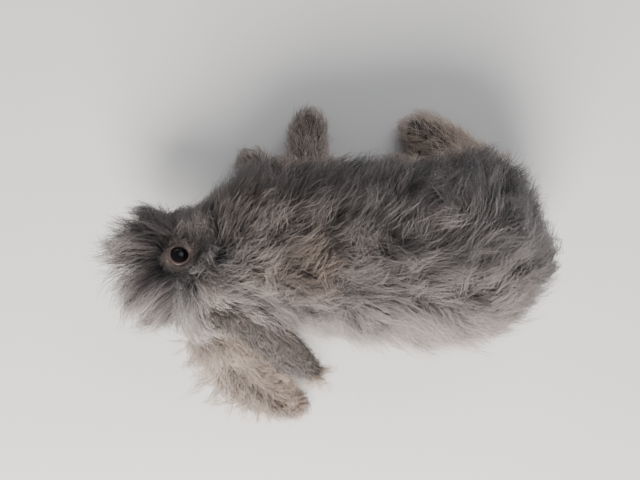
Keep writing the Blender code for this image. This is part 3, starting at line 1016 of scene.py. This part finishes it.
def strands_of(kind, group, surface, draw):
    """Centre lines, half widths, tufts, root places and places on the unwrap of the strands."""
    coat = COATS[kind]
    lines, normals, shares, _ = group
    count = np.maximum(LEAST_STRANDS, (coat.strands * at_least(0.5, shares)).astype(int))
    tuft = np.repeat(np.arange(len(lines)), count)
    guides = lines[tuft]
    normals = normals[tuft]
    share = shares[tuft]
    each = (len(tuft), 1, 1)
    t = np.array(coat.rings)[None, :, None]
    size = at_least(0.25, share)[:, None, None]

    scatter = draw.normal(0, STRAND_SCATTER, (len(tuft), 3)) * coat.spacing * MM
    scatter -= normals * (scatter * normals).sum(1)[:, None]
    own, _, uv = surface.nearest(guides[:, 0] + scatter)
    offset = (own - guides[:, 0])[:, None, :]
    swell = 1 + TUFT_SWELL * np.sin(np.pi * np.minimum(t, 0.8))
    gathered = coat.gather * draw.uniform(*STRAND_GATHER, each)
    lines = guides + offset * (1 - gathered * t**1.2) * np.where(size > 0.6, swell, 1)

    reach = draw.uniform(*STRAND_LENGTHS, each)
    lines = own[:, None, :] + (lines - own[:, None, :]) * (1 + (reach - 1) * t)
    curl = draw.normal(0, 1, (len(shares), 1, 3))[tuft]
    curl = curl * (0.7 + 0.3 * draw.normal(0, 1, each))
    lines = lines + curl * t**2.2 * coat.wave * CURL * MM * size
    shared, alone = CRIMPS
    crimp = draw.normal(0, shared, (len(shares), len(coat.rings), 3))[tuft]
    crimp = crimp + draw.normal(0, alone, (len(tuft), len(coat.rings), 3))
    lines = lines + crimp * np.minimum(1, t * 2) * coat.wave * MM * size
    stray = (draw.random(each) < STRAYS) * draw.uniform(*STRAY_SPREAD, each)
    astray = normals[:, None, :] * STRAY_OUT + curl * STRAY_CURL
    lines = lines + stray * t**1.6 * astray * MM * size
    lines = np.minimum(lines, FURTHEST)
    lowest = np.where(t > 0.05, FLOOR_CLEARANCE, ROOT_CLEARANCE)
    lines[:, :, 2:] = np.maximum(lines[:, :, 2:], lowest)
    half = coat.width * MM * draw.uniform(*STRAND_WIDTHS, len(tuft)) * at_least(0.75, share)
    seen = clear_of_eyes(lines)
    return lines[seen], half[seen], tuft[seen], own[seen], uv[seen]


def clear_of_eyes(lines):
    """Which strands keep out of the sight of both eyes."""
    along = np.concatenate((lines, (lines[:, 1:] + lines[:, :-1]) / 2), axis=1)
    clear = np.ones(len(lines), bool)
    for side in (1, -1):
        out = side * np.array(HEAD.right)
        away = along - np.array(eye_at(side))
        height = away @ out
        aside = np.linalg.norm(away - height[:, :, None] * out, axis=2)
        reach = EYE_OPENING * MM + EYE_VIEW * np.maximum(height - EYEBALL * MM, 0)
        over = (height > 0) & (height < EYE_VIEW_HEIGHT)
        clear &= ~(over & (aside < reach)).any(axis=1)
    return clear


def unit(rows):
    return rows / np.maximum(np.linalg.norm(rows, axis=-1, keepdims=True), 1e-9)


def strand_faces(each):
    """The faces of one strand of three sides, with a point at its end."""
    edges = ((0, 1), (1, 2), (2, 0))
    last = each - 4
    faces = [(r + k, r + j, r + 3 + j, r + 3 + k) for r in range(0, last, 3) for k, j in edges]
    return faces + [(last + k, last + j, each - 1) for k, j in edges] + [(2, 1, 0)]


def paint(mesh, colours):
    """Keeps a colour on each point of a mesh."""
    rgba = np.concatenate((colours, np.ones((len(colours), 1))), axis=1)
    layer = mesh.color_attributes.new("coat", "FLOAT_COLOR", "POINT")
    layer.data.foreach_set("color", rgba.ravel())


def strand_mesh(name, along, lines, half, uv, colours):
    """One mesh of closed strands, each with its patch of the unwrap."""
    total, rings, _ = lines.shape
    profile = np.interp(along[:-1], (0, 0.3, 0.7, 1), (0.8, 1.0, 0.75, 0.1))
    ahead = unit(np.gradient(lines, axis=1))
    side = unit(np.cross(ahead, (0.31, 0.21, 0.93)))
    over = np.cross(ahead, side)
    spin = (np.arange(3) * math.tau / 3)[:, None]
    ring = side[:, :-1, None] * np.cos(spin) + over[:, :-1, None] * np.sin(spin)
    thick = half[:, None, None, None] * profile[:, None, None]
    body = (lines[:, :-1, None] + ring * thick).reshape(total, -1, 3)
    points = np.concatenate((body, lines[:, -1:]), axis=1)
    each = points.shape[1]
    faces = strand_faces(each)
    corners = (np.concatenate(faces) + (np.arange(total) * each)[:, None]).ravel()
    sizes = np.tile([len(face) for face in faces], total)

    mesh = bpy.data.meshes.new(name)
    mesh.vertices.add(total * each)
    mesh.vertices.foreach_set("co", points.ravel())
    mesh.loops.add(len(corners))
    mesh.loops.foreach_set("vertex_index", corners)
    mesh.polygons.add(len(sizes))
    mesh.polygons.foreach_set("loop_start", np.cumsum(sizes) - sizes)
    mesh.polygons.foreach_set("loop_total", sizes)
    mesh.update(calc_edges=True)
    mesh.shade_smooth()

    lengthwise = np.append(np.repeat(along[:-1], 3), 1.0)
    about = np.append(np.tile((0.0, 0.5, 1.0), rings - 1), 0.5)
    patch = np.stack((about - 0.5, lengthwise - 0.5), axis=1) * PATCH
    flat = (uv[:, None, :] + patch).reshape(-1, 2)
    mesh.uv_layers.new(name="OFBake").data.foreach_set("uv", flat[corners].ravel())
    paint(mesh, colours[:, np.arange(each) // 3].reshape(-1, 3))
    return link_new(name, mesh)


def coat_colour(kind, along, tuft_tint, strand_tint):
    """Colour along each strand: dark at the root, grey, and pale at the tip."""
    t = np.array(along)[None, :, None]
    tuft_tint = tuft_tint[:, None, None]
    strand_tint = strand_tint[:, None, None]
    middle = GREY * (0.62 + 0.26 * strand_tint + 0.5 * tuft_tint)
    tip = TIP * (0.36 + 0.72 * tuft_tint) * (0.75 + 0.45 * strand_tint**2)
    low = np.clip(t / 0.6, 0, 1)
    high = np.clip((t - 0.6) / 0.4, 0, 1) ** 1.2
    if kind in SHORT_KINDS:
        low = low**0.4
    return blend(blend(UNDER, middle, low), tip, high)


def bell(places, centre, reach):
    """1 at a place in millimetres, and falling off round it."""
    away = np.linalg.norm(places / MM - np.array(centre), axis=1)
    return np.exp(-((away / reach) ** 2))


def markings_and_painted_light(kind, roots, shown, colour):
    """Warms and pales the coat where the photograph shows it, darkens it in patches, and paints
    light on the side that the back faces.
    """
    warm = np.full(len(roots), WARMTH.get(kind, 0.2))
    pale = np.full(len(roots), PALENESS.get(kind, 0.0))
    if kind in ("trunk", "neck", "head"):
        shade = np.ones(len(roots))
        for share, patches in ((warm, BROWN_PATCHES), (pale, PALE_PATCHES), (shade, DARK_PATCHES)):
            for centre, reach, strength in patches:
                share += strength * bell(shown, centre, reach)
        # Painted light: the coat is painted brighter towards the side that the back faces, where
        # the key light falls.
        low, high, gain = PAINTED_LIGHT_SIDE
        shade += gain * np.clip((shown[:, 1] / MM - low) / (high - low), 0, 1) ** 1.5
        if kind == "head":
            low, high, gain = PALE_FACE
            shade += gain * np.clip((eye_distance(shown) - low) / (high - low), 0, 1)
        colour = colour * shade[:, None, None]
    colour = colour * SHADES.get(kind, 1)
    grey = colour.mean(axis=2, keepdims=True)
    warm = np.clip(warm, 0, 1)[:, None, None]
    colour = blend(colour, BROWN / BROWN.mean() * grey, warm)
    pale = np.clip(pale, 0, 1)[:, None, None]
    colour = blend(colour, CREAM * 0.35 + colour * 1.7, pale)
    return blend(colour, LID_FUR, eye_ring(roots)[:, None, None])


def eye_distance(places):
    """Millimetres to the nearer eye."""
    eyes = (np.array(eye_at(side)) / MM for side in (1, -1))
    return np.minimum(*(np.linalg.norm(places / MM - eye, axis=1) for eye in eyes))


def eye_ring(places):
    """1 on the pale bare ring round each eye, and falling off beside it."""
    return np.exp(-(((eye_distance(places) - 10.5) / 2.3) ** 2))


def dress(made, material):
    made.data.materials.append(material)
    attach(made, "root")
    return made


def build_coat(surface, trees, outline, material):
    draw = np.random.default_rng(SEED)
    pieces = []
    for kind, group in tufts(surface, trees, outline, draw).items():
        along = COATS[kind].rings
        lines, half, tuft, own, uv = strands_of(kind, group, surface, draw)
        locks = group[3]
        lock_tint = draw.random(locks.max() + 1)[locks][tuft]
        tuft_tint = 0.6 * lock_tint + 0.4 * draw.random(len(locks))[tuft]
        strand_tint = draw.random(len(tuft))
        colours = coat_colour(kind, along, tuft_tint, strand_tint)
        colours = markings_and_painted_light(kind, own, lines[:, -2], colours)
        parts = math.ceil(len(tuft) / PIECE_STRANDS)
        for i, some in enumerate(np.array_split(np.arange(len(tuft)), parts)):
            name = f"coat_{kind}_{i + 1}"
            made = strand_mesh(name, along, lines[some], half[some], uv[some], colours[some])
            pieces.append(dress(made, material))
    return pieces


def new_material(name, values):
    """A material with these values on its shader, with the shader, its nodes and its links."""
    made = bpy.data.materials.new(name)
    made.use_nodes = True
    nodes = made.node_tree.nodes
    shader = nodes["Principled BSDF"]
    for socket, value in values.items():
        shader.inputs[socket].default_value = value
    return made, shader, nodes, made.node_tree.links


def add_paint(nodes):
    """The colour on the points of a mesh."""
    paint = nodes.new("ShaderNodeVertexColor")
    paint.layer_name = "coat"
    return paint.outputs["Color"]


def add_noise(nodes, scale, detail=2):
    noise = nodes.new("ShaderNodeTexNoise")
    noise.inputs["Scale"].default_value = scale
    noise.inputs["Detail"].default_value = detail
    return noise.outputs["Fac"]


def coat_material():
    values = {"Roughness": 0.62, "Specular IOR Level": 0.35}
    values |= {"Sheen Weight": 0.25, "Sheen Roughness": 0.4}
    made, shader, nodes, links = new_material("coat", values)
    mix = nodes.new("ShaderNodeMix")
    mix.data_type = "RGBA"
    mix.blend_type = "MULTIPLY"
    mix.inputs["Factor"].default_value = 0.25
    links.new(add_paint(nodes), mix.inputs["A"])
    links.new(add_noise(nodes, 900), mix.inputs["B"])
    links.new(mix.outputs["Result"], shader.inputs["Base Color"])
    return made


def skin_material():
    made, shader, nodes, links = new_material("skin", {"Roughness": 0.75})
    links.new(add_paint(nodes), shader.inputs["Base Color"])
    bump = nodes.new("ShaderNodeBump")
    bump.inputs["Strength"].default_value = 0.5
    bump.inputs["Distance"].default_value = 0.0006
    links.new(add_noise(nodes, 1400, 4), bump.inputs["Height"])
    links.new(bump.outputs["Normal"], shader.inputs["Normal"])
    return made


def eye_material(name):
    values = {"Roughness": 0.12, "IOR": 1.34, "Specular IOR Level": 0.35}
    made, shader, nodes, links = new_material(name, values)
    links.new(add_paint(nodes), shader.inputs["Base Color"])
    return made


def lid_material(name):
    made, shader, nodes, links = new_material(name, {"Roughness": 0.4})
    ramp = nodes.new("ShaderNodeValToRGB")
    ramp.color_ramp.elements[0].color = (0.045, 0.026, 0.024, 1)
    ramp.color_ramp.elements[1].color = (0.15, 0.095, 0.082, 1)
    links.new(add_noise(nodes, 500), ramp.inputs["Fac"])
    links.new(ramp.outputs["Color"], shader.inputs["Base Color"])
    return made


def paint_skin(skin, trees):
    """Paints the skin: dark under the wool, browner on the ears, the nose and round the eyes."""
    points = read(skin.data.vertices, "co", 3)
    ears = [trees[name] for name in EAR_PATHS]
    on_ear = [any(ear.find_nearest(point, 1.5 * MM)[0] for ear in ears) for point in points]
    colours = np.where(np.array(on_ear)[:, None], EAR_SKIN, UNDER * 1.2)
    nose = bell(points, np.array(HEAD.at(*NOSE_PLACE)) / MM, 5)[:, None]
    colours = blend(colours, NOSE_COLOUR, nose)
    paint(skin.data, blend(colours, LID_FUR, eye_ring(points)[:, None]))


def build_eye(name, side):
    """A wet dark eyeball with a brown iris and a wide pupil."""
    shape = bmesh.new()
    bmesh.ops.create_uvsphere(shape, u_segments=64, v_segments=48, radius=EYEBALL * MM)
    layer = shape.verts.layers.float_color.new("coat")
    for vert in shape.verts:
        angle = math.degrees(vert.co.angle(Vector((0, 0, 1))))
        iris = smooth_step(*IRIS_FROM, angle) * smooth_step(*IRIS_TO, angle)
        spoke = 0.75 + 0.25 * math.sin(math.atan2(vert.co.y, vert.co.x) * SPOKES)
        tone = Vector(PUPIL_COLOUR).lerp(Vector(IRIS_COLOUR) * spoke, iris)
        tone = tone.lerp(Vector(WHITE_COLOUR), smooth_step(*WHITE_FROM, angle))
        vert[layer] = (*tone, 1)
    turn = Matrix.Rotation(math.pi / 2 * side, 4, "X")
    bmesh.ops.transform(shape, matrix=HEAD.matrix(eye_at(side)) @ turn, verts=shape.verts)
    made = new_object(name, shape)
    made.data.shade_smooth()
    return dress(made, eye_material(name))


def build_lids(name, side):
    """The wet rim round an eye, drawn out a little towards the nose."""
    forward, right, up = EYE_PLACE
    shape = bmesh.new()
    turns = 48
    sides = 12
    rings = []
    for i in range(turns):
        angle = math.tau * i / turns
        nose = max(0, math.cos(angle + 0.2)) ** 6
        reach = LID_REACH + LID_CORNER[0] * nose
        height = LID_HEIGHT - LID_CORNER[1] * nose
        ring = []
        for k in range(sides):
            turn = math.tau * k / sides
            out = reach + LID_RADII[0] * math.cos(turn)
            lift = side * (right + height + LID_RADII[1] * math.sin(turn))
            point = HEAD.at(forward + out * math.cos(angle), lift, up + out * math.sin(angle))
            ring.append(shape.verts.new(point))
        rings.append(ring)
    for i in range(turns):
        one, two = rings[i], rings[(i + 1) % turns]
        for k in range(sides):
            j = (k + 1) % sides
            shape.faces.new((one[k], one[j], two[j], two[k]))
    bmesh.ops.recalc_face_normals(shape, faces=shape.faces)
    made = new_object(name, shape)
    made.data.shade_smooth()
    return dress(made, lid_material(name))


def build_whiskers(surface, material):
    """Thin curved whiskers on both sides of the muzzle."""
    draw = np.random.default_rng(SEED + 1)
    lines = []
    along = np.array(LONG)[:, None]
    forwards, asides, ups = WHISKER_ROOTS
    for side in (1, -1):
        for _ in range(WHISKERS):
            forward, up = draw.uniform(*forwards), draw.uniform(*ups)
            root = HEAD.at(forward, side * draw.uniform(*asides), up)
            way = HEAD.right * side + HEAD.forward * draw.uniform(0.1, 0.9)
            way += HEAD.up * draw.normal(0, 0.4)
            bend = HEAD.up * draw.uniform(-0.3, 0.5) - HEAD.forward * draw.uniform(0.2, 0.6)
            long = draw.uniform(*WHISKER_LENGTHS) * MM
            line = np.array(root) + np.array(way.normalized()) * along * long
            lines.append(line + np.array(bend) * along**2 * long)
    lines = np.array(lines)
    lines[:, :, 2] = np.maximum(lines[:, :, 2], WHISKER_LOWEST)
    lines[:, 0], _, uv = surface.nearest(lines[:, 0])
    half = np.full(len(lines), WHISKER_WIDTH * MM)
    colours = np.full((len(lines), len(LONG), 3), 0.5)
    return dress(strand_mesh("whiskers", along[:, 0], lines, half, uv, colours), material)


def build_claws(name, path):
    """A small curved claw at the end of each toe."""
    forms = []
    for place, ahead, across in toes(path):
        tip = place + ahead * CLAW_AHEAD
        turn = Matrix((ahead, -across, across.cross(ahead))).transposed()
        points, faces = unit_ball(12)
        narrow = 1 - CLAW_TAPER * np.clip(points[:, :1], 0, 1)
        points = np.concatenate((points[:, :1], points[:, 1:] * narrow), axis=1) * CLAW_RADII
        points[:, 2] -= CLAW_BEND * np.clip(points[:, 0], 0, 4) ** 2
        points = (points @ np.array(turn).T + np.array(tip)) * MM
        points[:, 2] = np.maximum(points[:, 2], FLOOR_CLEARANCE)
        forms.append((points, faces))
    claws = object_of(name, forms)
    claws.data.shade_smooth()
    values = {"Base Color": (0.10, 0.075, 0.06, 1), "Roughness": 0.35}
    return dress(claws, new_material(name, values)[0])


def build_stage():
    shape = bmesh.new()
    bmesh.ops.create_grid(shape, x_segments=1, y_segments=1, size=FLOOR_SIZE)
    floor = new_object("floor", shape)
    values = {"Base Color": (0.62, 0.60, 0.57, 1), "Roughness": 0.9}
    floor.data.materials.append(new_material("floor", values)[0])
    floor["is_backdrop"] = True


def build_lights():
    """Soft light from the side that the back faces, with a weak fill."""
    for name, (place, size, power, colour) in LIGHTS.items():
        data = bpy.data.lights.new(name, "AREA")
        data.size = size
        data.energy = power
        data.color = colour
        light = link_new(name, data)
        light.location = place
        light.rotation_mode = "QUATERNION"
        light.rotation_quaternion = (Vector(LIT_PLACE) - light.location).to_track_quat("-Z", "Y")
    world = bpy.data.worlds.new("world")
    world.use_nodes = True
    sky = world.node_tree.nodes["Background"]
    sky.inputs["Color"].default_value = SKY
    sky.inputs["Strength"].default_value = SKY_STRENGTH
    bpy.context.scene.world = world


def build_camera():
    data = bpy.data.cameras.new("camera")
    data.lens = CAMERA_LENS
    data.clip_start = 0.01
    camera = link_new("camera", data)
    turn = Matrix(((-1, 0, 0), (0, -1, 0), (0, 0, 1))).to_4x4()
    camera.matrix_world = Matrix.Translation((0, 0, CAMERA_HEIGHT)) @ turn
    bpy.context.scene.camera = camera


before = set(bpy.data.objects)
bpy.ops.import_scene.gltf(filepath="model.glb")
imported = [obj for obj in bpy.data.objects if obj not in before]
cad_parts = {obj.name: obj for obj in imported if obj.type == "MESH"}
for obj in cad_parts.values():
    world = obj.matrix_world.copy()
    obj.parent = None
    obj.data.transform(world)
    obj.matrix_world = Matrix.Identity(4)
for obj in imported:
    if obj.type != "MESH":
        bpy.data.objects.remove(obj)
cad_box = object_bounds()
build_camera()
build_lights()
build_stage()
skin, trees = build_skin()
paint_skin(skin, trees)
skin.data.materials.clear()
dress(skin, skin_material())
flesh = ("head", "neck", "torso", "tail", *LEG_PATHS, *EAR_PATHS)
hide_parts(*flesh)
surface = Surface(skin)
hair = coat_material()
for piece in build_coat(surface, trees, outline_tree(), hair):
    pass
build_whiskers(surface, hair)
for name, path in LEG_PATHS.items():
    build_claws("claws_" + name, path)
for side, word in ((1, "right"), (-1, "left")):
    eye = build_eye(f"eyeball_{word}", side)
    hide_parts(f"eye_{word}")
    build_lids(f"lids_{word}", side)

bpy.context.view_layer.update()
sizes = {"cad": cad_box, "visual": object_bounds()}
sizes = {name: [list(corner) for corner in box] for name, box in sizes.items()}
